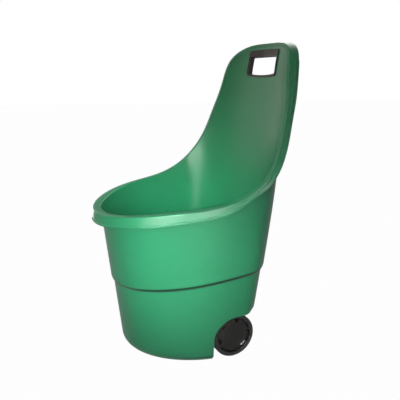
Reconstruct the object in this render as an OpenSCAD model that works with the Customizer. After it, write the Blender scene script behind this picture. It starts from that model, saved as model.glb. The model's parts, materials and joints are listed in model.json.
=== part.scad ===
// Garden cart: a one-piece moulded tub with a raised back and hand hole, on two wheels.
// The front is at -Y, the wheels are at the rear, and it stands on Z = 0.

/* [Tub plan] */
// Width of the tub at floor level, before the corner is rounded
base_w = 404; // [380:1:440]
// Reach of the front from the origin at floor level
base_front = 198; // [180:1:230]
// Reach of the rear wall from the origin at floor level
base_rear = 144; // [130:1:160]
// How fast each side leans out, per unit of height
side_lean = 0.071; // [0.05:0.001:0.09]
// How fast the front leans out, per unit of height
front_lean = 0.119; // [0.09:0.001:0.15]
// How fast the back leans out, per unit of height
rear_lean = 0.144; // [0.12:0.001:0.17]
// How much the back straightens above the tub
rear_curve = 3.4; // [0:0.1:4]
// How much the handle leans out again
rear_sweep = 0.64; // [0:0.01:0.9]
// Place of the widest line of the tub above its waist
waist_y = 87; // [75:1:100]
// How far forward that line moves at floor level
waist_shift = 30; // [0:1:45]
// Squareness of the rear half of the plan, where 2 is an ellipse
rear_square = 2.35; // [2:0.05:2.6]
// Squareness of the front half of the plan
front_square = 2.03; // [2:0.01:2.6]
// Squareness of the back panel at half its height
panel_square = 2.4; // [2.2:0.05:2.8]
// Squareness of the back panel at the handle
handle_square = 2.1; // [1.9:0.05:2.4]

/* [Tub heights] */
// Overall height to the top of the handle
tub_h = 847.5; // [780:1:900]
// Height of the front edge
front_h = 405; // [380:1:430]
// Height of the shoulder line at the origin
step_h = 232; // [215:1:250]
// Rise of the shoulder line towards the rear, per unit of length
step_rise = 0.157; // [0.1:0.001:0.2]
// How much the shoulder line flattens behind the origin
step_bend = 1.6; // [0:0.1:3]

/* [Tub moulding] */
// Wall thickness
wall = 3; // [2.5:0.5:4]
// Radius round the base
base_r = 28; // [20:1:32]
// How far the body steps in below the shoulder
step_in = 5.6; // [4:0.1:8]
// Radius of the shoulder
step_r = 15; // [12:1:20]

/* [Rim] */
// Width of the lip at the front
lip_front = 20; // [16:0.5:24]
// Width of the lip beside the back
lip_side = 9; // [7:0.5:11]
// Depth of the skirt at the front
skirt_front = 30; // [24:0.5:36]
// Depth of the flange behind the back
skirt_side = 16.5; // [12:0.5:20]
// Depth of the flange beside the handle
skirt_top = 25.5; // [20:0.5:32]
// Reach of the flange's free edge from the origin, which cuts it short over the handle
flange_y = 268; // [262:0.5:276]
// How far the skirt's free edge stands out
skirt_flare = 3; // [2:0.5:5]

/* [Hand hole] */
// Width of the clear opening
hand_w = 140; // [120:1:150]
// Height of the clear opening
hand_h = 48; // [42:1:54]
// Distance of the middle of the opening below the top
hand_drop = 63.5; // [56:1:74]
// Corner radius of the clear opening
hand_r = 5; // [3:1:8]
// How far the long edges of the opening bow out
hand_bulge = 2.5; // [0:0.5:4]
// Height of the grip above the opening, inside the panel
grip_h = 16; // [12:1:18]
// Wall of the grip sleeve
sleeve_wall = 3; // [2.5:0.5:4]
// Width of the grip's front flange
flange_w = 3; // [2.5:0.5:4]
// Width of the frame behind the panel
frame_w = 6; // [5:0.5:8]
// Thickness of the flange and the frame
flange_t = 2.5; // [2:0.5:3]
// Depth of the sleeve behind the panel
sleeve_back = 10; // [8:1:14]

/* [Wheels] */
// Diameter of each wheel
wheel_d = 122; // [110:1:130]
// Width of each tyre
wheel_w = 38; // [34:1:44]
// How far each wheel's outer face stands in from the tub's side
wheel_inset = 18.7; // [14:0.1:24]
// Place of the axle from the origin
axle_y = 60; // [54:1:64]
// Gap between the wheel and the arch
arch_gap = 5; // [4:0.5:8]
// Thickness of the tyre
tyre_t = 9; // [7:0.5:11]
// Radius of the tyre's edges
tyre_round = 2.6; // [2:0.1:3.5]
// Diameter of the raised hub cap
cap_d = 76; // [66:1:84]
// Reach of the cap's teeth beyond the cap
tooth_len = 8; // [5:0.5:9]
// Number of teeth round the cap
teeth = 6; // [4:1:8]

/* [Axle] */
// Diameter of the axle
axle_d = 10; // [8:0.5:12]
// Wall of the bush in each wheel
bush_wall = 3; // [2.5:0.5:4]
// Width of the blocks that carry the axle
block_w = 22; // [18:1:28]
// Length of the blocks along the cart
block_l = 46; // [42:1:54]
// Diameter of the clip screws
screw_d = 4; // [3:0.5:5]

/* [Fits] */
// Clearance on radius between bush and axle
run_fit = 0.05; // [0.02:0.01:0.1]
// Gap between parts that move past each other
side_gap = 0.4; // [0.3:0.1:1]
// Gap between parts that are only placed together
seat_gap = 0.1; // [0.1:0.05:0.3]
// Gap between the curved panel and the grip's flanges
face_gap = 0.5; // [0.3:0.1:1]

/* [Hidden] */
$fn = 72;

green = "#3aa373";
dark = "#2a2927";
grip_brown = "#3a322c";
steel = "#b9bcbd";

// the rim line from the middle of the front to the middle of the handle:
// [turn from the rear, share of the height between front edge and handle]
rim_line = [
    [180, 0], [160, 0.01], [141.5, 0.035], [125, 0.066], [110.5, 0.081], [97.5, 0.115], [86, 0.22],
    [74.7, 0.383], [67.3, 0.56], [56.3, 0.756], [54.2, 0.932], [22.6, 0.998], [0, 0.992]
];
rim_last = len(rim_line) - 1;
rim_span = tub_h - lip_side - front_h;
waist_h = 430;                     // below this the widest line moves forward
bend_h = 400;                      // above this the back straightens
turn_low = front_h + 12;           // the skirt hangs down below this height
turn_high = front_h + 76;          // and reaches rearwards above this one
panel_low = tub_h - 227.5;           // the flange grows deeper towards the handle from here
panel_high = tub_h - 167.5;          // and the panel gets rounder towards the handle
waist_pace = 2.2;                  // how fast the rim line turns just behind the waist
steps = 4;                         // columns for each span of the rim line
half_cols = rim_last * steps;
cols = 2 * half_cols;

function power(b, e) = sign(b) * pow(abs(b), e);
function smooth(v) = let(t = min(max(v, 0), 1)) t * t * (3 - 2 * t);
function mix(a, b, t) = a + (b - a) * t;
function unit(v) = v / norm(v);

// plan of the tub at a height, as a point on its outer face moved in by inset
function half_width(z) = base_w / 2 + side_lean * z;
function waist(z) = waist_y - waist_shift * pow(max(waist_h - z, 0) / waist_h, 2);
function above(z) = max(z - bend_h, 0) / 100;
function rear(z) = base_rear + rear_lean * z - rear_curve * pow(above(z), 2) + rear_sweep * pow(above(z), 3);
function front(z) = -(base_front + front_lean * z);
function panel_n(z) = mix(rear_square, panel_square, smooth((z - turn_high) / 150));
function rear_n(z) = mix(panel_n(z), handle_square, smooth((z - panel_high) / 120));
function plan(a, z, inset = 0) =
    let(s = sin(a), c = cos(a), behind = c > 0, n = behind ? rear_n(z) : front_square)
    let(reach = behind ? rear(z) - waist(z) - inset : waist(z) - front(z) - inset)
    [(half_width(z) - inset) * power(s, 2 / n), waist(z) + reach * power(c, 2 / n), z];

// height of the shoulder where the wall crosses it, found by stepping towards it
function shoulder(y) = step_h + step_rise * y - step_bend * pow(max(y, 0) / 100, 2);
function step_z(a, inset, rise = 0, z = 231, n = 4) =
    n == 0 ? z : step_z(a, inset, rise, shoulder(plan(a, z, inset)[1]) + rise, n - 1);

// smooth line through the rim points, mirrored at both ends
function rim_ctrl(i) =
    i < 0 ? [360 - rim_line[-i][0], rim_line[-i][1]]
    : i > rim_last ? [-rim_line[2 * rim_last - i][0], rim_line[2 * rim_last - i][1]]
    : rim_line[i];
function rim_uv(t) =
    let(i = min(floor(t), rim_last - 1), f = t - i)
    (pow(1 - f, 3) * rim_ctrl(i - 1) + (3 * pow(f, 3) - 6 * f * f + 4) * rim_ctrl(i)
        + (3 * f * f + 3 * f + 1 - 3 * pow(f, 3)) * rim_ctrl(i + 1) + pow(f, 3) * rim_ctrl(i + 2)) / 6;
function rim_z(t) = front_h + rim_span * rim_uv(t)[1];
// the turn runs evenly round the rim, and the angle starts faster behind the waist
function past_waist(q) = q + (waist_pace - 1) * q * pow(1 - q, 2);
function rim_angle(t) = let(u = rim_uv(t)[0]) u > 90 ? u : 90 - 90 * past_waist(1 - max(u, 0) / 90);
function rim_pt(t, inset = 0) = plan(rim_angle(t), rim_z(t), inset);

// the lip runs out along n, and the skirt hangs along d
function rim_frame(t) =
    let(tangent = unit(rim_pt(min(t + 0.02, rim_last)) - rim_pt(max(t - 0.02, 0))))
    let(turn = 90 * smooth((rim_z(t) - turn_low) / (turn_high - turn_low)))
    let(d0 = [0, sin(turn), -cos(turn)], d = unit(d0 - (d0 * tangent) * tangent))
    [d, cross(d, tangent), smooth((rim_z(t) - turn_low) / (turn_high - turn_low)), rim_z(t)];

function low_angle(t) = 180 - 180 * t / rim_last;

// rows of one column of the wall, from the floor to just under the rim
function foot_rows(t, skin) =
    let(r = base_r - skin, a = low_angle(t))
    [for (b = [90:-22.5:0]) plan(a, skin + r * (1 - sin(b)), step_in + skin + r * (1 - cos(b)))];
function step_rows(t, skin) =
    let(a = low_angle(t))
    [for (b = [60:-20:0])
        let(inset = skin + step_r * (1 - cos(b)) * step_in / (step_r * 0.5))
        plan(a, step_z(a, inset, step_r * (sin(60) - sin(b))), inset)];
function wall_rows(t, skin, drop) =
    let(a = low_angle(t), b = rim_angle(t), low = step_z(a, skin, step_r * sin(60)), high = rim_z(t) - drop)
    [for (v = [1:7])
        plan(mix(a, b, smooth(v / 7)), mix(low, high, v / 7), skin)];
function rim_rows(t) =
    let(f = rim_frame(t), lip = mix(lip_front, lip_side, f[2]), e = rim_pt(t))
    let(deep = mix(mix(skirt_front, skirt_side, f[2]), skirt_top, smooth((f[3] - panel_low) / 165)))
    let(reach = min(deep, max(flange_y - e[1], wall + 6)))
    let(o = e + lip * f[1], s = o + reach * f[0] + skirt_flare * f[1])
    [
        o - wall * f[1] + wall * f[0],
        s - wall * f[1],
        s,
        o + 1.5 * f[0],
        o - 1.5 * f[1],
        rim_pt(t, wall)
    ];
function column(t) =
    concat(foot_rows(t, 0), step_rows(t, 0), wall_rows(t, 0, wall), rim_rows(t),
        reverse(wall_rows(t, wall, wall)), reverse(step_rows(t, wall)), reverse(foot_rows(t, wall)));
function reverse(list) = [for (i = [len(list) - 1:-1:0]) list[i]];
function flip(list) = [for (p = list) [-p[0], p[1], p[2]]];
function all_columns(rows) = concat(
    [for (k = [0:half_cols]) rows[k]],
    [for (k = [half_cols - 1:-1:1]) flip(rows[k])]
);

// closes a ring of columns into a solid, with a flat face on the first and last rows
module skin_solid(columns) {
    n = len(columns);
    m = len(columns[0]);
    points = [for (c = columns) for (p = c) p];
    walls = [for (k = [0:n - 1]) for (j = [0:m - 2])
        let(a = k * m + j, b = ((k + 1) % n) * m + j)
        each [[a, b + 1, b], [a, a + 1, b + 1]]];
    ends = [[for (k = [0:n - 1]) k * m], [for (k = [n - 1:-1:0]) k * m + m - 1]];
    polyhedron(points, concat(walls, ends), convexity = 10);
}

module tub_shell() {
    skin_solid(all_columns([for (k = [0:half_cols]) column(k / steps)]));
}

module lower_body() {
    skin_solid(all_columns([for (k = [0:half_cols])
        let(t = k / steps) concat(foot_rows(t, 0), [step_rows(t, 0)[0]])]));
}

// wheel and axle places
wheel_r = wheel_d / 2;
arch_r = wheel_r + arch_gap;
axle_z = wheel_r;
axle_r = axle_d / 2;
rim_r = wheel_r - tyre_t;
bush_r = axle_r + bush_wall;
hub_r = bush_r + 7;
wheel_out = half_width(axle_z) - step_in - wheel_inset;
wheel_in = wheel_out - wheel_w;
web_t = 4;
web_out = wheel_out - 10;
hub_in = wheel_in - 6;
hub_out = web_out - 3;
washer_t = 2;
washer_r = bush_r + 4;
nut_t = 4;
washer_out = hub_out + side_gap + washer_t;
axle_end = washer_out + nut_t + 1.5;
block_out = hub_in - washer_t - 2 * side_gap;
block_in = block_out - block_w;
ear_t = 6;
screw_y = block_l / 2 - 8;
cap_t = 3;
cap_r = cap_d / 2;

// the full-width recess under the rear, seen from the side and grown by g
module recess_side(g) {
    translate([axle_y, axle_z]) circle(arch_r + g);
    translate([axle_y - arch_r - g, -40]) square([arch_r + g, axle_z + 40]);
    translate([axle_y, -40]) square([300, axle_z + arch_r + g + 40]);
}

module recess(g) {
    rotate([90, 0, 90]) linear_extrude(height = base_w + 200, center = true) recess_side(g);
}

// saddle under the recess that the axle snaps up into
module axle_block(side) {
    middle = side * (block_in + block_out) / 2;
    difference() {
        translate([middle - block_w / 2, axle_y - block_l / 2, axle_z + seat_gap])
            cube([block_w, block_l, arch_r + wall / 2 - seat_gap]);
        translate([middle, axle_y, axle_z]) rotate([0, 90, 0])
            cylinder(r = axle_r + seat_gap, h = block_w + 2, center = true);
        for (y = [-screw_y, screw_y])
            translate([middle, axle_y + y, axle_z - 1]) cylinder(d = screw_d + 2 * seat_gap, h = 18);
    }
}

// hand hole place: X across, Y up the panel, Z towards the load side
hand_z = tub_h - hand_drop;
hand_lean = atan((rear(hand_z + 30) - rear(hand_z - 30)) / 60);
hand_half = hand_w / 2;
function panel_y(x, z) =
    waist(z) + (rear(z) - waist(z)) * pow(1 - pow(x / half_width(z), rear_n(z)), 1 / rear_n(z));
hand_sag = rear(hand_z) - panel_y(hand_half, hand_z);
panel_r = (hand_half * hand_half + hand_sag * hand_sag) / (2 * hand_sag) - wall;
// how far the panel bows back from the frame's own curve at the frame's corners
hand_reach = hand_h / 2 + grip_h + frame_w + hand_bulge;
hand_side = hand_half + sleeve_wall + frame_w;
function bow_at(x, up) =
    panel_y(x, hand_z + up) - rear(hand_z) - up * tan(hand_lean) + hand_sag * pow(x / hand_half, 2);
hand_bow = max([for (x = [0, hand_side]) for (up = [-hand_reach, 0, hand_reach]) bow_at(x, up)]);
back_r = panel_r + wall + face_gap + hand_bow;

module at_hand() {
    translate([0, rear(hand_z) - wall / cos(hand_lean), hand_z]) rotate([90 - hand_lean, 0, 0]) children();
}

// rectangle with round corners whose long edges bow out, as one outline
function corner_arc(x, y, r, start) = [for (a = [start:15:start + 90]) [x + r * cos(a), y + r * sin(a)]];
function bowed(w, h, side) = [for (i = [7:-1:-7]) side * [i / 8 * w, h + hand_bulge * (1 - i * i / 64)]];
module rounded(w, h, r) {
    x = w / 2 - r;
    y = h / 2 - r;
    polygon(concat(
        corner_arc(x, y, r, 0),
        bowed(x, h / 2, 1),
        corner_arc(-x, y, r, 90),
        corner_arc(-x, -y, r, 180),
        bowed(x, h / 2, -1),
        corner_arc(x, -y, r, 270)
    ));
}

// opening of the hand hole grown by side at its ends and foot and by top above,
// from depth low to high along the panel's normal
module hand_prism(side, top, low, high) {
    translate([0, (top - side) / 2, low]) linear_extrude(height = high - low)
        rounded(hand_w + 2 * side, hand_h + side + top, hand_r + min(side, 3));
}

// slice of the panel's own curve, from r_low to r_high round the curve's axis
module panel_band(r_low, r_high) {
    translate([0, 0, panel_r]) rotate([90, 0, 0]) difference() {
        cylinder(r = r_high, h = 3 * hand_h, center = true, $fn = 180);
        cylinder(r = r_low, h = 3 * hand_h + 2, center = true, $fn = 180);
    }
}

// the empty resize turns the whole tub into one mesh before it is cut
module tub() {
    color(green)
        resize([0, 0, 0]) difference() {
            union() {
                difference() {
                    tub_shell();
                    recess(0);
                }
                intersection() {
                    lower_body();
                    difference() {
                        recess(wall);
                        recess(0);
                    }
                }
                axle_block(1);
                axle_block(-1);
            }
            at_hand() hand_prism(sleeve_wall + seat_gap, grip_h + seat_gap, -30, 40);
        }
}

module grip_sleeve() {
    color(grip_brown) at_hand() difference() {
        union() {
            hand_prism(sleeve_wall, grip_h, -wall - sleeve_back, hand_sag + 2 * flange_t);
            intersection() {
                hand_prism(sleeve_wall + flange_w, grip_h + flange_w, -40, 40);
                panel_band(panel_r - face_gap - flange_t, panel_r - face_gap);
            }
        }
        hand_prism(0, 0, -60, 60);
        difference() {
            hand_prism(20, 40, -60, 60);
            panel_band(panel_r - face_gap - flange_t, panel_r + 60);
        }
    }
}

module grip_back_frame() {
    color(grip_brown) at_hand() difference() {
        intersection() {
            hand_prism(sleeve_wall + frame_w, grip_h + frame_w, -40, 40);
            panel_band(back_r, back_r + flange_t);
        }
        hand_prism(sleeve_wall, grip_h, -60, 60);
    }
}

module axle() {
    color(steel) translate([0, axle_y, axle_z]) rotate([0, 90, 0])
        cylinder(r = axle_r, h = 2 * axle_end, center = true);
}

module axle_clip(side) {
    middle = side * (block_in + block_out) / 2;
    color(dark) difference() {
        union() {
            translate([middle - block_w / 2, axle_y - block_l / 2, axle_z - ear_t]) cube([block_w, block_l, ear_t]);
            translate([middle, axle_y, axle_z]) rotate([0, 90, 0])
                cylinder(r = axle_r + 5, h = block_w, center = true);
        }
        translate([middle - block_w, axle_y - block_l, axle_z]) cube([2 * block_w, 2 * block_l, block_l]);
        translate([middle, axle_y, axle_z]) rotate([0, 90, 0]) cylinder(r = axle_r, h = 2 * block_w, center = true);
        for (y = [-screw_y, screw_y])
            translate([middle, axle_y + y, axle_z - ear_t - 1]) cylinder(d = screw_d + 2 * seat_gap, h = ear_t + 2);
    }
}

module clip_screws(side) {
    middle = side * (block_in + block_out) / 2;
    color(steel) for (y = [-screw_y, screw_y]) {
        translate([middle, axle_y + y, axle_z - ear_t]) {
            cylinder(d = screw_d, h = ear_t + 14);
            translate([0, 0, -screw_d * 0.6]) cylinder(d = 2 * screw_d, h = screw_d * 0.6);
        }
    }
}

// wheel pieces are drawn with Z outward along the axle
module at_wheel(side) {
    translate([0, axle_y, axle_z]) rotate([0, 90 * side, 0]) children();
}

module ring(r_in, r_out, low, high) {
    translate([0, 0, low]) difference() {
        cylinder(r = r_out, h = high - low);
        translate([0, 0, -1]) cylinder(r = r_in, h = high - low + 2);
    }
}

module wheel(side) {
    color(dark) at_wheel(side) {
        difference() {
            union() {
                ring(rim_r - 3.5, rim_r, wheel_in + 1, wheel_out - 1);
                ring(hub_r - 1, rim_r - 2, web_out - web_t, web_out);
                ring(bush_r, hub_r, hub_in, hub_out);
                for (a = [0:360 / teeth:359]) {
                    rotate(a) translate([hub_r - 1, -1.5, wheel_in + 4])
                        cube([rim_r - hub_r - 1, 3, web_out - wheel_in - 4 - web_t / 2]);
                }
            }
            translate([0, 0, hub_in - 1]) cylinder(r = bush_r, h = wheel_w + 20);
        }
    }
}

module tyre(side) {
    color(dark) at_wheel(side) rotate_extrude() {
        translate([rim_r, wheel_in]) square([tyre_t - tyre_round, wheel_w]);
        translate([rim_r, wheel_in + tyre_round]) square([tyre_t, wheel_w - 2 * tyre_round]);
        for (z = [wheel_in + tyre_round, wheel_out - tyre_round])
            translate([wheel_r - tyre_round, z]) circle(tyre_round);
    }
}

module hub_cap(side) {
    tooth_w = PI * (cap_r + tooth_len / 2) / teeth * 0.85;
    color(dark) at_wheel(side) difference() {
        union() {
            ring(0, cap_r, web_out, wheel_out);
            intersection() {
                ring(cap_r - 2, cap_r + tooth_len, web_out, wheel_out - 2);
                for (a = [0:360 / teeth:359]) {
                    rotate(a + side * 90 / teeth) translate([cap_r - 4, -tooth_w / 2, web_out])
                        cube([tooth_len + 6, tooth_w, wheel_out - web_out]);
                }
            }
        }
        translate([0, 0, web_out - 1]) cylinder(r = cap_r - cap_t, h = wheel_out - web_out - cap_t + 1);
    }
}

module wheel_bush(side) {
    color(steel) at_wheel(side) ring(axle_r + run_fit, bush_r, hub_in, hub_out);
}

module inner_washer(side) {
    color(steel) at_wheel(side) ring(axle_r + run_fit, washer_r, hub_in - side_gap - washer_t, hub_in - side_gap);
}

module outer_washer(side) {
    color(steel) at_wheel(side) ring(axle_r + run_fit, washer_r, hub_out + side_gap, washer_out);
}

module push_nut(side) {
    color(steel) at_wheel(side) {
        ring(axle_r, axle_r + 2.5, washer_out, washer_out + nut_t);
        ring(axle_r, washer_r - 1, washer_out, washer_out + 1.2);
    }
}

tub();
grip_sleeve();
grip_back_frame();
axle();
axle_clip(1);  // axle_clip_left
axle_clip(-1);  // axle_clip_right
clip_screws(1);  // clip_screws_left
clip_screws(-1);  // clip_screws_right
wheel(1);  // wheel_left
wheel(-1);  // wheel_right
tyre(1);  // tyre_left
tyre(-1);  // tyre_right
hub_cap(1);  // hub_cap_left
hub_cap(-1);  // hub_cap_right
wheel_bush(1);  // wheel_bush_left
wheel_bush(-1);  // wheel_bush_right
inner_washer(1);  // inner_washer_left
inner_washer(-1);  // inner_washer_right
outer_washer(1);  // outer_washer_left
outer_washer(-1);  // outer_washer_right
push_nut(1);  // push_nut_left
push_nut(-1);  // push_nut_right
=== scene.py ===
import json
import math

import bmesh
import bpy
import numpy as np
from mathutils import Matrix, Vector


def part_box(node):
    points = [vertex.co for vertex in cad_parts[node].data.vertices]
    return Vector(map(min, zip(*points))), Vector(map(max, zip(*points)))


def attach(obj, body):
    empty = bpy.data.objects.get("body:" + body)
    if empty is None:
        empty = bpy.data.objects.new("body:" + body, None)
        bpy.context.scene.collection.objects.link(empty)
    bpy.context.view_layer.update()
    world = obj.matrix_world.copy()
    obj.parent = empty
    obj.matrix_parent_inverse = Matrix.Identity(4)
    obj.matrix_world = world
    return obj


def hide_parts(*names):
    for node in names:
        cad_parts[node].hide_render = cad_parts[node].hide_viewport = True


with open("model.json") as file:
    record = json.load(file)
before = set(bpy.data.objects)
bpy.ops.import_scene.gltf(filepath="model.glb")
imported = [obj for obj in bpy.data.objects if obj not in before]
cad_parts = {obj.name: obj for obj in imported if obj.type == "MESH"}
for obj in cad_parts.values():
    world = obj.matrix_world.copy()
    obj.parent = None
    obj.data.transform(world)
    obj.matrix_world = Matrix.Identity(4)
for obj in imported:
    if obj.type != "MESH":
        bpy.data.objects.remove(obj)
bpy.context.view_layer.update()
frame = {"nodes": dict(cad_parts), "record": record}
mm = 0.001
print("frame loaded:", len(frame["nodes"]), "parts")


# small helpers for shapes, all in millimetres until the mesh is made
def power(base, exponent):
    return np.sign(base) * np.abs(base) ** exponent


def smooth(value):
    t = np.clip(value, 0, 1)
    return t * t * (3 - 2 * t)


def mix(a, b, t):
    return a + (b - a) * t


def unit(v):
    return v / np.linalg.norm(v, axis=-1, keepdims=True)


def makePiece(name, points, faces, sharpAngle=32):
    mesh = bpy.data.meshes.new(name)
    mesh.from_pydata((np.asarray(points, float) * mm).tolist(), [], [list(f) for f in faces])
    mesh.validate()
    work = bmesh.new()
    work.from_mesh(mesh)
    bmesh.ops.recalc_face_normals(work, faces=work.faces)
    work.to_mesh(mesh)
    work.free()
    piece = bpy.data.objects.new(name, mesh)
    bpy.context.scene.collection.objects.link(piece)
    softenShading(piece, sharpAngle)
    return piece


def softenShading(piece, sharpAngle):
    mesh = piece.data
    mesh.polygons.foreach_set("use_smooth", [True] * len(mesh.polygons))
    mesh.set_sharp_from_angle(angle=math.radians(sharpAngle))
    mesh.update()


def applied(piece):
    graph = bpy.context.evaluated_depsgraph_get()
    mesh = bpy.data.meshes.new_from_object(piece.evaluated_get(graph))
    old = piece.data
    piece.modifiers.clear()
    piece.data = mesh
    bpy.data.meshes.remove(old)


def combine(piece, tool, how):
    step = piece.modifiers.new("join", "BOOLEAN")
    step.object = tool
    step.operation = how
    step.solver = "MANIFOLD"
    applied(piece)
    bpy.data.objects.remove(tool)
    return piece


# faces between rows of points, where each row is one ring, with a cap on the first and last ring
def loftFaces(rowCount, ringCount, capped):
    faces = []
    for i in range(rowCount - 1):
        for k in range(ringCount):
            a = i * ringCount + k
            b = i * ringCount + (k + 1) % ringCount
            faces.append((a, b, b + ringCount, a + ringCount))
    if capped:
        start = (rowCount - 1) * ringCount
        faces.append(tuple(range(ringCount - 1, -1, -1)))
        faces.append(tuple(range(start, start + ringCount)))
    return faces


# closed skin through rows of points, either capped or run back from the last row to the first
def loft(name, rows, sharpAngle=32, loop=False):
    count = len(rows[0])
    faces = loftFaces(len(rows), count, not loop)
    if loop:
        start = (len(rows) - 1) * count
        for k in range(count):
            n = (k + 1) % count
            faces.append((start + k, start + n, n, k))
    return makePiece(name, np.concatenate(rows), faces, sharpAngle)


# a path of corner points, each a whole ring, with every corner rounded by its own radius
def roundCorners(corners, radii, pieces=4):
    rows = []
    for i, point in enumerate(corners):
        radius = radii[i]
        if radius == 0 or i == 0 or i == len(corners) - 1:
            rows.append(point)
            continue
        start = point + radius * unit(corners[i - 1] - point)
        end = point + radius * unit(corners[i + 1] - point)
        for s in np.linspace(0, 1, pieces + 1):
            rows.append((1 - s) ** 2 * start + 2 * s * (1 - s) * point + s * s * end)
    return rows


# the tub's form, in millimetres and degrees round from the middle of the back
tubForm = {
    "baseWidth": 404, "baseFront": 198, "baseRear": 144,
    "sideLean": 0.071, "frontLean": 0.119, "rearLean": 0.144,
    "rearCurve": 3.4, "rearSweep": 0.64, "bendHeight": 400,
    "waistY": 87, "waistShift": 30, "waistHeight": 430,
    "rearSquare": 2.35, "panelSquare": 2.4, "handleSquare": 2.1, "frontSquare": 2.03,
    "height": 847.5, "frontHeight": 405, "stepHeight": 232, "stepRise": 0.157, "stepBend": 1.6,
    "wall": 3, "baseRound": 28, "stepIn": 5.6, "stepRound": 15,
    "lipFront": 20, "lipSide": 9, "skirtFront": 30, "skirtSide": 16.5, "skirtTop": 25.5, "flare": 3,
    "flangeY": 268, "bead": 1.6, "beadHeight": 5, "beadBack": 2.4, "beadHeightBack": 10, "beadTop": 796,
    "rearRound": 11, "tuckY": 78, "tuckRunY": 45, "tuckZ": 60, "tuckRunZ": 40,
    "spanColumns": 16, "waistPace": 2.2, "stepTurn": 60, "innerDrop": 7.5,
    "rimSamples": 1201, "evenSamples": 601, "evenSpread": 18, "evenReach": 55,
    "rimLine": [
        (180, 0), (160, 0.01), (141.5, 0.035), (125, 0.066), (110.5, 0.081), (97.5, 0.115), (86, 0.22),
        (74.7, 0.383), (67.3, 0.56), (56.3, 0.756), (54.2, 0.932), (22.6, 0.998), (0, 0.992),
    ],
}
# the space under the rear for the axle and wheels
recessForm = {
    "axleY": 60, "wheelRadius": 61, "gap": 5, "mouthRound": 2.4, "frontRound": 11,
    "underFloor": -40, "behindTub": 330, "besideTub": 330,
}
recessForm["radius"] = recessForm["wheelRadius"] + recessForm["gap"]
recessForm["top"] = recessForm["wheelRadius"] + recessForm["radius"]

f = tubForm
rimLast = len(f["rimLine"]) - 1
rimSpan = f["height"] - f["lipSide"] - f["frontHeight"]
turnLow = f["frontHeight"] + 12
turnHigh = f["frontHeight"] + 76
panelLow = f["height"] - 227.5
panelHigh = f["height"] - 167.5


def halfWidth(z):
    return f["baseWidth"] / 2 + f["sideLean"] * z


def waist(z):
    below = np.maximum(f["waistHeight"] - z, 0) / f["waistHeight"]
    return f["waistY"] - f["waistShift"] * below ** 2


def rearAt(z):
    above = np.maximum(z - f["bendHeight"], 0) / 100
    return f["baseRear"] + f["rearLean"] * z - f["rearCurve"] * above ** 2 + f["rearSweep"] * above ** 3


def frontAt(z):
    return -(f["baseFront"] + f["frontLean"] * z)


# how far the rounded lower rear edge draws in, for the face at depth skin
def rearTuck(y, z, skin):
    radius = f["rearRound"] - skin
    centre = recessForm["top"] + f["rearRound"]
    down = np.clip((centre - z) / radius, 0, 0.95)
    weight = smooth((y - f["tuckY"]) / f["tuckRunY"]) * smooth((z - f["tuckZ"]) / f["tuckRunZ"])
    return weight * radius * (1 - np.sqrt(1 - down ** 2))


def rearSquareAt(z):
    lower = mix(f["rearSquare"], f["panelSquare"], smooth((z - turnHigh) / 150))
    return mix(lower, f["handleSquare"], smooth((z - panelHigh) / 120))


def planPoint(angle, z, inset):
    a = np.radians(angle)
    s, c = np.sin(a), np.cos(a)
    behind = c > 0
    n = np.where(behind, rearSquareAt(z), f["frontSquare"])
    reach = np.where(behind, rearAt(z) - waist(z), waist(z) - frontAt(z)) - inset
    x = (halfWidth(z) - inset) * power(s, 2 / n)
    y = waist(z) + reach * power(c, 2 / n)
    return np.stack([x, y, z + 0 * x], axis=-1)


def plan(angle, z, inset, skin=0):
    flat = planPoint(angle, z, inset)
    return planPoint(angle, z, inset + rearTuck(flat[..., 1], z, skin))


# height of the step round the tub, found in a few rounds because the step slopes with y
def stepZ(angle, inset, rise):
    z = f["stepHeight"] - 1 + 0 * angle
    for _ in range(5):
        y = planPoint(angle, z, inset)[..., 1]
        bend = f["stepBend"] * (np.maximum(y, 0) / 100) ** 2
        z = f["stepHeight"] + f["stepRise"] * y - bend + rise
    return z


def rimSpline(t):
    line = np.array(f["rimLine"], float)
    before = np.array([[360 - line[1][0], line[1][1]]])
    after = np.array([[-line[-2][0], line[-2][1]]])
    ctrl = np.concatenate([before, line, after])
    i = np.minimum(np.floor(t).astype(int), rimLast - 1)
    q = (t - i)[:, None]
    line = ((1 - q) ** 3 * ctrl[i] + (3 * q ** 3 - 6 * q * q + 4) * ctrl[i + 1]
            + (3 * q * q + 3 * q + 1 - 3 * q ** 3) * ctrl[i + 2] + q ** 3 * ctrl[i + 3]) / 6
    # behind the waist the angle turns faster at first, so that the rim runs on evenly
    past = np.clip(1 - line[:, 0] / 90, 0, 1)
    turned = 90 - 90 * (past + (f["waistPace"] - 1) * past * (1 - past) ** 2)
    line[:, 0] = np.where(line[:, 0] < 90, turned, line[:, 0])
    return line


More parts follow.
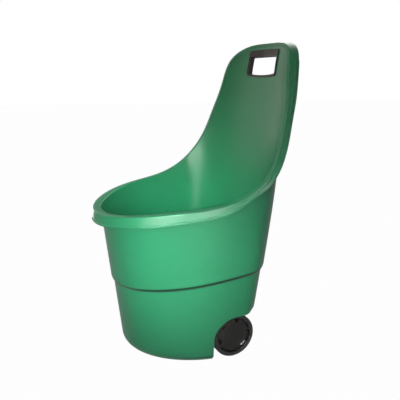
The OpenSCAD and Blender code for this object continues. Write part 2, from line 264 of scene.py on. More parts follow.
# the rim line as a table of angle and height, with its run past the waist evened out
def evenRim():
    t = np.linspace(0, rimLast, f["rimSamples"])
    line = rimSpline(t)
    z = f["frontHeight"] + rimSpan * line[:, 1]
    points = planPoint(line[:, 0], z, 0)
    run = np.concatenate([[0], np.cumsum(np.linalg.norm(np.diff(points, axis=0), axis=1))])
    even = np.linspace(0, run[-1], f["evenSamples"])
    y, height = np.interp(even, run, points[:, 1]), np.interp(even, run, z)
    middle = even[np.argmin(np.abs(y - waist(height)))]
    offset = even[:, None] - even[None, :]
    weight = np.exp(-0.5 * (offset / f["evenSpread"]) ** 2)
    weight /= weight.sum(1, keepdims=True)
    blend = np.exp(-0.5 * ((even - middle) / f["evenReach"]) ** 4)
    y = mix(y, weight @ y, blend)
    height = mix(height, weight @ height, blend)
    behind = y > waist(height)
    n = np.where(behind, rearSquareAt(height), f["frontSquare"])
    reach = np.where(behind, rearAt(height) - waist(height), waist(height) - frontAt(height))
    share = np.clip((y - waist(height)) / reach, -1, 1)
    angle = np.degrees(np.arccos(np.clip(power(share, n / 2), -1, 1)))
    angle = mix(np.interp(even, run, line[:, 0]), angle, smooth((blend - 0.01) / 0.05))
    return t, np.interp(run, even, angle), np.interp(run, even, height)


rimTable = evenRim()


def rimAngle(t):
    return np.interp(t, rimTable[0], rimTable[1])


def rimHeight(t):
    return np.interp(t, rimTable[0], rimTable[2])


def rimPoint(t, inset=0.0):
    return planPoint(rimAngle(t), rimHeight(t), inset)


def mirrored(half):
    other = half[-2:0:-1] * np.array([-1, 1, 1])
    return np.concatenate([half, other])


def footRows(low, skin, count=8):
    radius = f["baseRound"] - skin
    rows = []
    for b in np.radians(np.linspace(90, 0, count + 1)):
        z = skin + radius * (1 - math.sin(b))
        rows.append(plan(low, z + 0 * low, f["stepIn"] + skin + radius * (1 - math.cos(b)), skin))
    return rows


def lowerRows(low, skin, count=22):
    top = stepZ(low, f["stepIn"] + skin, 0)
    start = f["baseRound"]
    shares = np.linspace(0, 1, count + 1)[1:]
    return [plan(low, mix(start, top, v), f["stepIn"] + skin, skin) for v in shares]


def stepRows(low, skin, count=7):
    rows = []
    for b in np.radians(np.linspace(f["stepTurn"], 0, count + 1)[1:]):
        inset = skin + 2 * f["stepIn"] * (1 - math.cos(b))
        rise = f["stepRound"] * (math.sin(math.radians(f["stepTurn"])) - math.sin(b))
        rows.append(planPoint(low, stepZ(low, inset, rise), inset))
    return rows


def wallRows(low, t, skin, drop, count=34):
    bottom = stepZ(low, skin, f["stepRound"] * math.sin(math.radians(f["stepTurn"])))
    top = rimHeight(t) - drop
    rows = []
    for v in np.linspace(0, 1, count + 1)[1:]:
        rows.append(planPoint(mix(low, rimAngle(t), smooth(v)), mix(bottom, top, v), skin))
    return rows


def bodyRows(low, t, skin, drop):
    foot, lower = footRows(low, skin), lowerRows(low, skin)
    step, upper = stepRows(low, skin), wallRows(low, t, skin, drop)
    crease = roundCorners([lower[-2], lower[-1], step[0]], [0, 1.2, 0], 3)[1:-1]
    return foot + lower[:-1] + crease + step + upper


# lip, hanging skirt and the bead along its free edge
def rimRows(t, wallTop, innerTop):
    wall = f["wall"]
    edge = rimPoint(t)
    height = rimHeight(t)
    tangent = unit(rimPoint(np.minimum(t + 0.02, rimLast)) - rimPoint(np.maximum(t - 0.02, 0)))
    share = smooth((height - turnLow) / (turnHigh - turnLow))
    turn = np.radians(90 * share)
    hang = np.stack([0 * turn, np.sin(turn), -np.cos(turn)], axis=-1)
    hang = unit(hang - (hang * tangent).sum(-1, keepdims=True) * tangent)
    out = np.cross(hang, tangent)
    out[0] = out[0] * [0, 1, 1]
    lip = mix(f["lipFront"], f["lipSide"], share)[:, None]
    reach = mix(f["skirtFront"], f["skirtSide"], share)
    reach = mix(reach, f["skirtTop"], smooth((height - panelLow) / 165))
    reach = np.minimum(reach, np.maximum(f["flangeY"] - edge[:, 1], wall + 6))[:, None]
    beadOn = (mix(f["bead"], f["beadBack"], share) * smooth((f["beadTop"] - height) / 3.5))[:, None]
    beadTall = mix(f["beadHeight"], f["beadHeightBack"], share)[:, None]
    corner = edge + lip * out
    free = corner + reach * hang + f["flare"] * out
    slope = unit(free - corner)
    corners = [
        wallTop,
        wallTop + 0.5 * (edge + wall * hang - wallTop),
        corner - wall * out + wall * hang,
        free - wall * out,
        free + beadOn * out,
        free + beadOn * out - beadTall * slope,
        free - (beadTall + 1.2) * slope,
        corner,
        corner - 0.5 * lip * out - 0.35 * hang,
        rimPoint(t, wall),
        innerTop,
    ]
    radii = [0, 0, 2, 1.2, 1.3, 1.0, 0.8, 3.2, 0, 3.6, 0]
    rows = roundCorners(corners, radii, 4)
    return rows[2:-1]


# each column's place along the rim line, and its angle round the foot
def columnPlaces():
    t = np.linspace(0, rimLast, rimLast * f["spanColumns"] + 1)
    return t, 180 - 180 * t / rimLast


def tubRows():
    t, low = columnPlaces()
    outer = bodyRows(low, t, 0, f["wall"])
    inner = bodyRows(low, t, f["wall"], f["innerDrop"])
    rows = outer + rimRows(t, outer[-1], inner[-1]) + inner[::-1]
    return [mirrored(r) for r in rows]


# outline of the recess seen from the side, grown by a margin, with its lower front corner rolled forward
def recessSide(grow, roll):
    y0 = recessForm["axleY"] - recessForm["radius"] - grow
    zc = recessForm["wheelRadius"]
    radius = recessForm["radius"] + grow
    under, behind = recessForm["underFloor"], recessForm["behindTub"]
    line = [(y0 - roll - 30, under), (y0 - roll - 30, -1), (y0 - roll, -1)]
    for b in np.radians(np.linspace(0, 90, 9)):
        line.append((y0 - roll + roll * math.sin(b), roll - roll * math.cos(b) + 0.001))
    line += [(y0, z) for z in np.linspace(roll + 6, zc - 4, 7)]
    for b in np.radians(np.linspace(180, 90, 25)):
        line.append((recessForm["axleY"] + radius * math.cos(b), zc + radius * math.sin(b)))
    top = zc + radius
    line += [(y, top) for y in np.linspace(recessForm["axleY"] + 6, 196, 24)]
    line += [(230, top), (behind, top), (behind, under)]
    return np.array(line)


# where the tub's outer face stands beside a point of the side view
def sideFace(y, z):
    inset = np.full_like(y, f["stepIn"])
    for _ in range(3):
        behind = y > waist(z)
        n = np.where(behind, rearSquareAt(z), f["frontSquare"])
        reach = np.where(behind, rearAt(z) - waist(z), waist(z) - frontAt(z)) - inset
        share = np.clip(np.abs(y - waist(z)) / reach, 0, 0.999)
        x = (halfWidth(z) - inset) * (1 - share ** n) ** (1 / n)
        inset = f["stepIn"] + rearTuck(y, z, 0)
    return x


# tunnel across the tub whose mouths open out, so that the cut's edges come out rounded
def recessTunnel(name):
    line = recessSide(0, recessForm["frontRound"])
    ahead, back = np.roll(line, -1, 0), np.roll(line, 1, 0)
    along = unit(ahead - back)
    normal = np.stack([-along[:, 1], along[:, 0]], axis=-1)
    y, z = line[:, 0], line[:, 1]
    fade = 1 - smooth((y - 70) / 30)
    live = ((z > 4) & (y < 150)).astype(float) * fade
    radius = recessForm["mouthRound"]
    face = np.where(y < 150, sideFace(np.clip(y, -100, 150), np.clip(z, 1, 140)), 160)
    face = np.where(z < 1, 190, face)
    half = []
    for b in np.radians([0, 20, 40, 60, 78]):
        x = face - radius * (1 - math.sin(b)) * live
        grown = line + normal * (radius * (1 - math.cos(b)) * live)[:, None]
        half.append(np.column_stack([x + 0.001 * math.degrees(b), grown]))
    half.append(np.column_stack([face * 0 + recessForm["besideTub"], half[-1][:, 1:]]))
    rows = [h * np.array([-1, 1, 1]) for h in half[::-1]] + half
    return loft(name, rows)


# saddle block that hangs under the recess roof, with a half-round groove for the axle
def makeSaddle(word):
    low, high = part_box("axle_clip_" + word)
    near, far = low.x / mm, high.x / mm
    y, z, half, groove = recessForm["axleY"], recessForm["wheelRadius"], 23, 5.1
    reach, foot = recessForm["radius"] + 1.5, z + 0.1
    turns = np.radians(np.linspace(180, 0, 13))
    line = [(y + groove * math.cos(b), foot + groove * math.sin(b)) for b in turns]
    line += [(y + half, foot), (y + half, z + reach), (y, z + reach)]
    line += [(y - half * q, z + math.sqrt(reach ** 2 - (half * q) ** 2))
             for q in (0.25, 0.5, 0.75, 1)]
    line = np.array(line + [(y - half, foot)])
    middle = line.mean(0)
    rows = []
    for x, shrink in ((near, 0.6), (near + 0.6, 0), (far - 0.6, 0), (far, 0.6)):
        rows.append(np.column_stack([0 * line[:, 0] + x, line + shrink * unit(middle - line)]))
    return loft("saddle" + word.capitalize(), rows)


def makeTub():
    tub = loft("tubBody", tubRows())
    combine(tub, recessTunnel("recessCut"), "DIFFERENCE")
    # the skin that closes the tub over the recess
    low = columnPlaces()[1]
    solid = loft("lowerBody", [mirrored(r) for r in footRows(low, 0.02) + lowerRows(low, 0.02)])
    outline = recessSide(f["wall"], recessForm["frontRound"] - f["wall"])
    ends = [np.column_stack([outline[:, 0] * 0 + x, outline]) for x in (-320, 320)]
    hump = loft("recessSkin", ends)
    combine(solid, hump, "INTERSECT")
    combine(solid, recessTunnel("recessCut"), "DIFFERENCE")
    combine(tub, solid, "UNION")
    for word in ("left", "right"):
        combine(tub, makeSaddle(word), "UNION")
    return tub


# hand hole and the grip that lines it: x across, y up the panel, depth towards the load side
gripForm = {
    "width": 140, "height": 48, "round": 5, "drop": 63.5,
    "bulgeTop": 2.5, "bulgeBar": 1, "bulgeFoot": 3,
    "topBar": 16, "wall": 3, "flange": 3, "flangeThick": 2.5, "faceGap": 0.5,
    "back": 10, "frame": 6, "seat": 0.1,
}
handZ = f["height"] - gripForm["drop"]
handLean = math.atan((rearAt(handZ + 30) - rearAt(handZ - 30)) / 60)
handHalf = gripForm["width"] / 2


# depth of the panel's front face at a place on the panel, measured from the middle of the hole
def panelDepth(x, up):
    z = handZ + up * math.cos(handLean)
    n = rearSquareAt(z)
    share = (1 - (np.abs(x) / halfWidth(z)) ** n) ** (1 / n)
    y = waist(z) + (rearAt(z) - waist(z)) * share
    straight = rearAt(handZ) + up * math.sin(handLean)
    return (straight - y) * math.cos(handLean)


def handPoints(x, up, depth):
    place = np.array([0, rearAt(handZ) - f["wall"] / math.cos(handLean), handZ])
    upWay = np.array([0, math.sin(handLean), math.cos(handLean)])
    outWay = np.array([0, -math.cos(handLean), math.sin(handLean)])
    x, up, depth = np.broadcast_arrays(np.asarray(x, float), up, depth)
    return place + x[:, None] * [1, 0, 0] + up[:, None] * upWay + depth[:, None] * outWay


# one ring round the opening, grown by side at its ends and foot and by top above
def handRing(side, top, depth, corner, follow=1.0):
    wide = handHalf + side
    low, high = -gripForm["height"] / 2 - side, gripForm["height"] / 2 + top
    centres = [(wide - corner, high - corner), (corner - wide, high - corner),
               (corner - wide, low + corner), (wide - corner, low + corner)]
    bulgeTop = mix(gripForm["bulgeBar"], gripForm["bulgeTop"], min(top / gripForm["topBar"], 1))
    xs, ups = [], []
    for i, (cx, cy) in enumerate(centres):
        start = 90 * i
        for b in np.radians(np.linspace(start, start + 90, 7)):
            xs.append(cx + corner * math.cos(b))
            ups.append(cy + corner * math.sin(b))
        nx, ny = centres[(i + 1) % 4]
        tipX, tipY = xs[-1], ups[-1]
        endX, endY = nx + tipX - cx, ny + tipY - cy
        for s in np.linspace(0, 1, 26 if i % 2 == 0 else 10)[1:-1]:
            bulge = {0: bulgeTop, 2: -gripForm["bulgeFoot"]}.get(i, 0) * (1 - (2 * s - 1) ** 2)
            xs.append(mix(tipX, endX, s))
            ups.append(mix(tipY, endY, s) + bulge)
    xs, ups = np.array(xs), np.array(ups)
    return handPoints(xs, ups, depth + follow * panelDepth(xs, ups))


def makeHoleTool():
    g = gripForm
    side, top = g["wall"] + g["seat"], g["topBar"] + g["seat"]
    depths = (-30, -15, 0, 15, 40)
    return loft("holeCut", [handRing(side, top, depth, g["round"] + 2, 0) for depth in depths])


def makeGrip():
    g = gripForm
    face = g["faceGap"] + g["flangeThick"]
    back = -(f["wall"] + g["back"])
    corner = g["round"]
    corners = [
        handRing(g["wall"], g["topBar"], back + 5, corner + 2),
        handRing(g["wall"], g["topBar"], back, corner + 2),
        handRing(0, 0, back, corner),
        handRing(0, 0, face, corner),
        handRing(g["wall"] + g["flange"], g["topBar"] + g["flange"], face, corner + 2.5),
        handRing(g["wall"] + g["flange"], g["topBar"] + g["flange"], g["faceGap"] + 0.2, corner + 2.5),
        handRing(g["wall"], g["topBar"], g["faceGap"] + 0.2, corner + 2),
        handRing(g["wall"], g["topBar"], back + 5, corner + 2),
    ]
    rows = roundCorners(corners, [0, 1.2, 2, 2.2, 1.2, 0.4, 0, 0], 4)
    return loft("gripSleeve", rows[:-1], 40, loop=True)


def makeBackFrame():
    g = gripForm
    near = -(f["wall"] + g["faceGap"])
    far = near - g["flangeThick"]
    side, top, corner = g["wall"], g["topBar"], g["round"] + 2
    corners = [
        handRing(side, top, near, corner),
        handRing(side, top, far, corner),
        handRing(side + g["frame"], top + g["frame"], far, corner + 3),
        handRing(side + g["frame"], top + g["frame"], near, corner + 3),
        handRing(side, top, near, corner),
    ]
    rows = roundCorners(corners, [0, 0.8, 1.1, 0.4, 0], 3)
    return loft("gripBackFrame", rows[:-1], 40, loop=True)


# wheels: every piece is turned about the axle, with depth measured inwards from the wheel's outer face
wheelForm = {
    "radius": recessForm["wheelRadius"], "axleY": recessForm["axleY"], "width": 38,
    "tyre": 9, "tyreRound": 2.6, "groove": 1.1, "web": 4, "webDepth": 10, "bush": 8, "hub": 15,
    "capRadius": 38, "capDepth": 1.8, "tooth": 8, "teeth": 6, "toothTurn": -75, "gapShare": 0.36,
}


def wheelPoint(x, radius, angle):
    return np.column_stack([x + 0 * angle, wheelForm["axleY"] + radius * np.cos(angle),
                            wheelForm["radius"] + radius * np.sin(angle)])


# turns a profile of (depth, radius) corners round the axle
def turned(name, side, outer, corners, radii, segments=96):
    angle = np.linspace(0, 2 * math.pi, segments, endpoint=False)
    rings = [wheelPoint(side * (outer - depth), radius + 0 * angle, angle) for depth, radius in corners]
    rows = roundCorners(rings, radii, 4)
    return loft(name, rows[:-1], 40, loop=True)


def joined(name, pieces):
    work = bmesh.new()
    for piece in pieces:
        work.from_mesh(piece.data)
    mesh = bpy.data.meshes.new(name)
    work.to_mesh(mesh)
    work.free()
    for piece in pieces:
        bpy.data.objects.remove(piece)
    whole = bpy.data.objects.new(name, mesh)
    bpy.context.scene.collection.objects.link(whole)
    return whole


def makeTyre(name, side, outer):
    w = wheelForm
    r, b, core, g = w["radius"], w["tyreRound"], w["radius"] - w["tyre"], w["groove"]
    wide = w["width"]
    corners = [(wide / 2, core), (0.6, core), (0, core + 0.8), (0, r - 5.2), (1.0, r - 4.6),
               (0.5, r - 3.6), (0.4, r)]
    radii = [0, 0.3, 0.5, 0.4, 0.3, 0.4, b]
    for middle in (9, 19, 29):
        corners += [(middle - 1.6, r), (middle - 1.0, r - g), (middle + 1.0, r - g), (middle + 1.6, r)]
        radii += [0.5, 0.4, 0.4, 0.5]
    corners += [(wide, r), (wide, core), (wide / 2, core)]
    radii += [b + 1.5, 0.8, 0]
    return turned(name, side, outer, corners, radii, 120)


def makeWheel(name, side, outer):
    w = wheelForm
    core = w["radius"] - w["tyre"]
    web, thick = w["webDepth"], w["web"]
    low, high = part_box(name)
    hubIn = outer - min(abs(low.x), abs(high.x)) / mm
    inner = w["width"]
    bushR, hubR = w["bush"], w["hub"]
    corners = [
        (web + 3, bushR), (web + 3, hubR), (web, hubR), (web, w["capRadius"] + 1.5),
        (web - 3.4, w["capRadius"] + 10), (1.0, core - 3.4), (1.0, core), (inner - 1, core),
        (inner - 1, core - 3.5), (web + thick + 3, core - 4.5), (web + thick, core - 9),
        (web + thick, hubR), (hubIn, hubR), (hubIn, bushR), (web + 3, bushR),
    ]
    radii = [0, 0.4, 0, 4.5, 3.0, 0.9, 0.5, 0.5, 0.8, 2, 2, 1.2, 0.8, 0.3, 0]
    shell = turned(name + "Shell", side, outer, corners, radii)
    ribs = []
    for k in range(w["teeth"]):
        a = 2 * math.pi * k / w["teeth"]
        along, across = np.array([math.cos(a), math.sin(a)]), np.array([-math.sin(a), math.cos(a)])
        rows = []
        for radius in np.linspace(hubR - 1, core - 3, 6):
            ring = []
            depthIn = 32 - 10 * math.sin(math.pi * (radius - hubR + 1) / (core - hubR - 2)) * 0.6
            for depth, half in ((web + thick - 1, 1.7), (depthIn - 0.8, 1.5), (depthIn, 0.9)):
                ring.append((depth, radius, half))
            loop = [(d, r, h) for d, r, h in ring] + [(d, r, -h) for d, r, h in ring[::-1]]
            rows.append(np.array([
                [side * (outer - d), w["axleY"] + r * along[0] + h * across[0],
                 w["radius"] + r * along[1] + h * across[1]] for d, r, h in loop]))
        ribs.append(loft(name + "Rib%d" % k, rows, 40))
    whole = joined(name + "Core", [shell] + ribs)
    softenShading(whole, 38)
    return whole


def makeHubCap(name, side, outer):
    w = wheelForm
    reach, count = w["tooth"], w["teeth"]
    base = w["capRadius"]
    gapHalf = math.pi / count * w["gapShare"]
    # outline with teeth, as an angle and a radius
    angle, radius = [], []
    for k in range(count):
        middle = math.radians(w["toothTurn"] + 360 / count * k)
        half = math.pi / count - gapHalf
        for s in np.linspace(-1, 1, 15):
            angle.append(middle + half * s)
            radius.append(base + reach)
        for s in np.linspace(0, 1, 10):
            angle.append(middle + half + 0.012 + (2 * gapHalf - 0.024) * s)
            radius.append(base)
    angle, radius = np.array(angle), np.array(radius)
    flat = np.column_stack([radius * np.cos(angle), radius * np.sin(angle)])
    tangent = unit(np.roll(flat, -1, 0) - np.roll(flat, 1, 0))
    inward = np.column_stack([-tangent[:, 1], tangent[:, 0]])

    def ring(depth, shrink):
        at = flat + inward * shrink
        x = side * (outer - depth) + 0 * angle
        return np.column_stack([x, w["axleY"] + at[:, 0], w["radius"] + at[:, 1]])

    top = w["capDepth"]
    rows = [ring(w["webDepth"] - 0.1, 0), ring(top + 1.1, 0), ring(top + 0.45, 0.2), ring(top + 0.1, 0.6),
            ring(top, 1.2)]
    around = np.linspace(0, 2 * math.pi, len(angle), endpoint=False)
    teeth = loft(name + "Teeth", rows, 35)
    profile = [(top + 1, base - 0.4), (top - 0.6, base - 0.4), (0.5, base - 0.9), (0.1, base - 2.0),
               (0.25, base - 3.4), (0.6, base - 4.6), (0.6, base - 12), (0.35, base - 24), (0.3, 6),
               (0.3, 1.5)]
    face = [wheelPoint(side * (outer - depth), r + 0 * around, around) for depth, r in profile]
    disc = loft(name + "Disc", face, 40)
    whole = joined(name + "Cap", [teeth, disc])
    softenShading(whole, 38)
    return whole


print("tub: building")
tub = makeTub()
combine(tub, makeHoleTool(), "DIFFERENCE")
softenShading(tub, 32)
print("tub:", len(tub.data.polygons), "faces")
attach(tub, "cart")
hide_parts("tub")

grip = makeGrip()
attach(grip, "cart")
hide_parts("grip_sleeve")
backFrame = makeBackFrame()
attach(backFrame, "cart")
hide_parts("grip_back_frame")

wheelPieces = []
for side, word in ((1, "left"), (-1, "right")):
    low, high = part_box("tyre_" + word)
    outer = max(abs(low.x), abs(high.x)) / mm
    for kind, make in (("tyre", makeTyre), ("wheel", makeWheel), ("hub_cap", makeHubCap)):
        piece = make(kind + "_" + word, side, outer)
        piece.name = {"tyre": "tyre", "wheel": "wheelCore", "hub_cap": "hubCap"}[kind] + word.capitalize()
        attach(piece, word + "_wheel")
        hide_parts(kind + "_" + word)
        wheelPieces.append((kind, piece))
print("grip and wheels: built")


# shared surface effects
def makeGroup(name, inputs, outputs):
    group = bpy.data.node_groups.new(name, "ShaderNodeTree")
    for label, kind, value in inputs:
        made = group.interface.new_socket(label, in_out="INPUT", socket_type="NodeSocket" + kind)
        if value is not None:
            made.default_value = value
    for label, kind in outputs:
        group.interface.new_socket(label, in_out="OUTPUT", socket_type="NodeSocket" + kind)
    return group, group.nodes.new("NodeGroupInput"), group.nodes.new("NodeGroupOutput")


def noiseNode(tree, scale, detail, rough=0.5):
    node = tree.nodes.new("ShaderNodeTexNoise")
    node.inputs["Scale"].default_value = scale
    node.inputs["Detail"].default_value = detail
    node.inputs["Roughness"].default_value = rough
    return node


def mathNode(tree, kind, a, b, clamp=False):
    node = tree.nodes.new("ShaderNodeMath")
    node.operation = kind
    node.use_clamp = clamp
    for slot, value in enumerate((a, b)):
        if isinstance(value, (int, float)):
            node.inputs[slot].default_value = value
        elif value is not None:
            tree.links.new(value, node.inputs[slot])
    return node.outputs[0]


def rangeNode(tree, value, low, high, outLow, outHigh):
    node = tree.nodes.new("ShaderNodeMapRange")
    tree.links.new(value, node.inputs["Value"])
    for label, number in (("From Min", low), ("From Max", high), ("To Min", outLow), ("To Max", outHigh)):
        node.inputs[label].default_value = number
    return node.outputs["Result"]


# fine moulded grain with slow drifts in tone and gloss
def makeGrainGroup():
    group, given, result = makeGroup(
        "mouldedGrain",
        [("Grain Scale", "Float", 900.0), ("Drift Scale", "Float", 5.0), ("Rough Low", "Float", 0.35),
         ("Rough High", "Float", 0.5)],
        [("Tone", "Float"), ("Roughness", "Float"), ("Height", "Float")])
    coord = group.nodes.new("ShaderNodeTexCoord")
    grain, drift, mottle = noiseNode(group, 900, 2), noiseNode(group, 5, 3), noiseNode(group, 60, 2)
    for node, label in ((grain, "Grain Scale"), (drift, "Drift Scale")):
        group.links.new(given.outputs[label], node.inputs["Scale"])
    for node in (grain, drift, mottle):
        group.links.new(coord.outputs["Object"], node.inputs["Vector"])
    tone = mathNode(group, "ADD", mathNode(group, "MULTIPLY", drift.outputs["Fac"], 0.75),
                    mathNode(group, "MULTIPLY", mottle.outputs["Fac"], 0.25))
    spread = mathNode(group, "SUBTRACT", given.outputs["Rough High"], given.outputs["Rough Low"])
    rough = mathNode(group, "ADD", given.outputs["Rough Low"],
                     mathNode(group, "MULTIPLY", rangeNode(group, tone, 0.35, 0.65, 0, 1), spread))
    group.links.new(tone, result.inputs["Tone"])
    group.links.new(rough, result.inputs["Roughness"])
    group.links.new(grain.outputs["Fac"], result.inputs["Height"])
    return group


# rubbed edges, where the surface is sharply convex
def makeEdgeGroup():
    group, given, result = makeGroup(
        "edgeWear", [("Low", "Float", 0.52), ("High", "Float", 0.6), ("Break Up", "Float", 40.0)],
        [("Mask", "Float")])
    coord = group.nodes.new("ShaderNodeTexCoord")
    shape = group.nodes.new("ShaderNodeNewGeometry")
    patch = noiseNode(group, 40, 4, 0.6)
    group.links.new(coord.outputs["Object"], patch.inputs["Vector"])
    group.links.new(given.outputs["Break Up"], patch.inputs["Scale"])
    node = group.nodes.new("ShaderNodeMapRange")
    group.links.new(shape.outputs["Pointiness"], node.inputs["Value"])
    group.links.new(given.outputs["Low"], node.inputs["From Min"])
    group.links.new(given.outputs["High"], node.inputs["From Max"])
    mask = mathNode(group, "MULTIPLY", node.outputs["Result"],
                    rangeNode(group, patch.outputs["Fac"], 0.35, 0.6, 0, 1), True)
    group.links.new(mask, result.inputs["Mask"])
    return group


# thin scratches in crossing directions
def makeScuffGroup():
    group, given, result = makeGroup(
        "fineScuffs", [("Scale", "Float", 30.0), ("Amount", "Float", 0.5)], [("Mask", "Float")])
    coord = group.nodes.new("ShaderNodeTexCoord")
    masks = []
    for turn, stretch in ((0.5, (1, 14, 1)), (-0.7, (1, 1, 16)), (1.4, (12, 1, 1.5))):
        place = group.nodes.new("ShaderNodeMapping")
        place.inputs["Rotation"].default_value = (turn, turn * 0.6, turn)
        place.inputs["Scale"].default_value = stretch
        noise = noiseNode(group, 30, 5, 0.65)
        group.links.new(coord.outputs["Object"], place.inputs["Vector"])
        group.links.new(place.outputs["Vector"], noise.inputs["Vector"])
        group.links.new(given.outputs["Scale"], noise.inputs["Scale"])
        masks.append(rangeNode(group, noise.outputs["Fac"], 0.66, 0.72, 0, 1))
    total = mathNode(group, "MAXIMUM", mathNode(group, "MAXIMUM", masks[0], masks[1]), masks[2])
    mask = mathNode(group, "MULTIPLY", total, given.outputs["Amount"], True)
    group.links.new(mask, result.inputs["Mask"])
    return group


# painted shade: darkens the band under the step, standing in for the shadow there
def makePaintedShadeGroup():
    group, given, result = makeGroup(
        "stepPaintedShade", [("Low", "Float", -0.001), ("High", "Float", 0.011)], [("Mask", "Float")])
    coord = group.nodes.new("ShaderNodeTexCoord")
    split = group.nodes.new("ShaderNodeSeparateXYZ")
    group.links.new(coord.outputs["Object"], split.inputs[0])
    y, z = split.outputs[1], split.outputs[2]
    back = mathNode(group, "MAXIMUM", y, 0.0)
    bend = mathNode(group, "MULTIPLY", mathNode(group, "MULTIPLY", back, back), f["stepBend"] * 0.1)
    line = mathNode(group, "SUBTRACT", mathNode(group, "MULTIPLY", y, f["stepRise"]), bend)
    above = mathNode(group, "SUBTRACT", mathNode(group, "SUBTRACT", z, line), f["stepHeight"] * mm)
    start = mathNode(group, "SUBTRACT", above, given.outputs["Low"])
    end = mathNode(group, "SUBTRACT", given.outputs["High"], above)
    mask = mathNode(group, "MULTIPLY", rangeNode(group, start, 0.0, 0.0022, 0, 1),
                    rangeNode(group, end, 0.0, 0.003, 0, 1), True)
    group.links.new(mask, result.inputs["Mask"])
    return group


grainGroup, edgeGroup, scuffGroup = makeGrainGroup(), makeEdgeGroup(), makeScuffGroup()
paintedShadeGroup = makePaintedShadeGroup()


def groupNode(tree, group, **values):
    node = tree.nodes.new("ShaderNodeGroup")
    node.node_tree = group
    for label, value in values.items():
        node.inputs[label.replace("_", " ")].default_value = value
    return node


def mixColour(tree, share, a, b, kind="MIX"):
    node = tree.nodes.new("ShaderNodeMix")
    node.data_type = "RGBA"
    node.blend_type = kind
    for slot, value in ((0, share), (6, a), (7, b)):
        if isinstance(value, (int, float)):
            node.inputs[slot].default_value = value
        elif isinstance(value, tuple):
            node.inputs[slot].default_value = (*value, 1)
        else:
            tree.links.new(value, node.inputs[slot])
    return node.outputs[2]


def makeFinish(name, look):
    material = bpy.data.materials.new(name)
    material.use_nodes = True
    tree = material.node_tree
    shader = tree.nodes["Principled BSDF"]
    grain = groupNode(tree, grainGroup, Grain_Scale=look["grainScale"], Drift_Scale=look["driftScale"],
                      Rough_Low=look["rough"][0], Rough_High=look["rough"][1])
    edge = groupNode(tree, edgeGroup, Low=look["edge"][0], High=look["edge"][1], Break_Up=look["edgePatch"])
    scuff = groupNode(tree, scuffGroup, Scale=look["scuffScale"], Amount=look["scuff"])
    tone = rangeNode(tree, grain.outputs["Tone"], 0.3, 0.7, 0, 1)
    colour = mixColour(tree, tone, look["dark"], look["light"])
    colour = mixColour(tree, edge.outputs["Mask"], colour, look["worn"])
    colour = mixColour(tree, mathNode(tree, "MULTIPLY", scuff.outputs["Mask"], 0.35), colour, look["worn"])
    # painted shade: the band under the step is mixed towards a dark colour in place of its shadow
    if "paintedShade" in look:
        paintedShade = groupNode(tree, paintedShadeGroup)
        share = mathNode(tree, "MULTIPLY", paintedShade.outputs["Mask"], 0.9)
        colour = mixColour(tree, share, colour, look["paintedShade"])
    tree.links.new(colour, shader.inputs["Base Color"])
    rough = mathNode(tree, "ADD", grain.outputs["Roughness"],
                     mathNode(tree, "MULTIPLY", scuff.outputs["Mask"], look["scuffRough"]), True)
    tree.links.new(rough, shader.inputs["Roughness"])
    bump = tree.nodes.new("ShaderNodeBump")
    bump.inputs["Strength"].default_value = look["bump"]
    bump.inputs["Distance"].default_value = look["bumpDepth"]
    height = mathNode(tree, "SUBTRACT", grain.outputs["Height"],
                      mathNode(tree, "MULTIPLY", scuff.outputs["Mask"], 0.6))
    tree.links.new(height, bump.inputs["Height"])
    tree.links.new(bump.outputs["Normal"], shader.inputs["Normal"])
    shader.inputs["Specular IOR Level"].default_value = look["specular"]
    shader.inputs["Metallic"].default_value = look.get("metal", 0)
    shader.inputs["Coat Weight"].default_value = look.get("coat", 0)
    shader.inputs["Coat Roughness"].default_value = look.get("coatRough", 0.1)
    return material


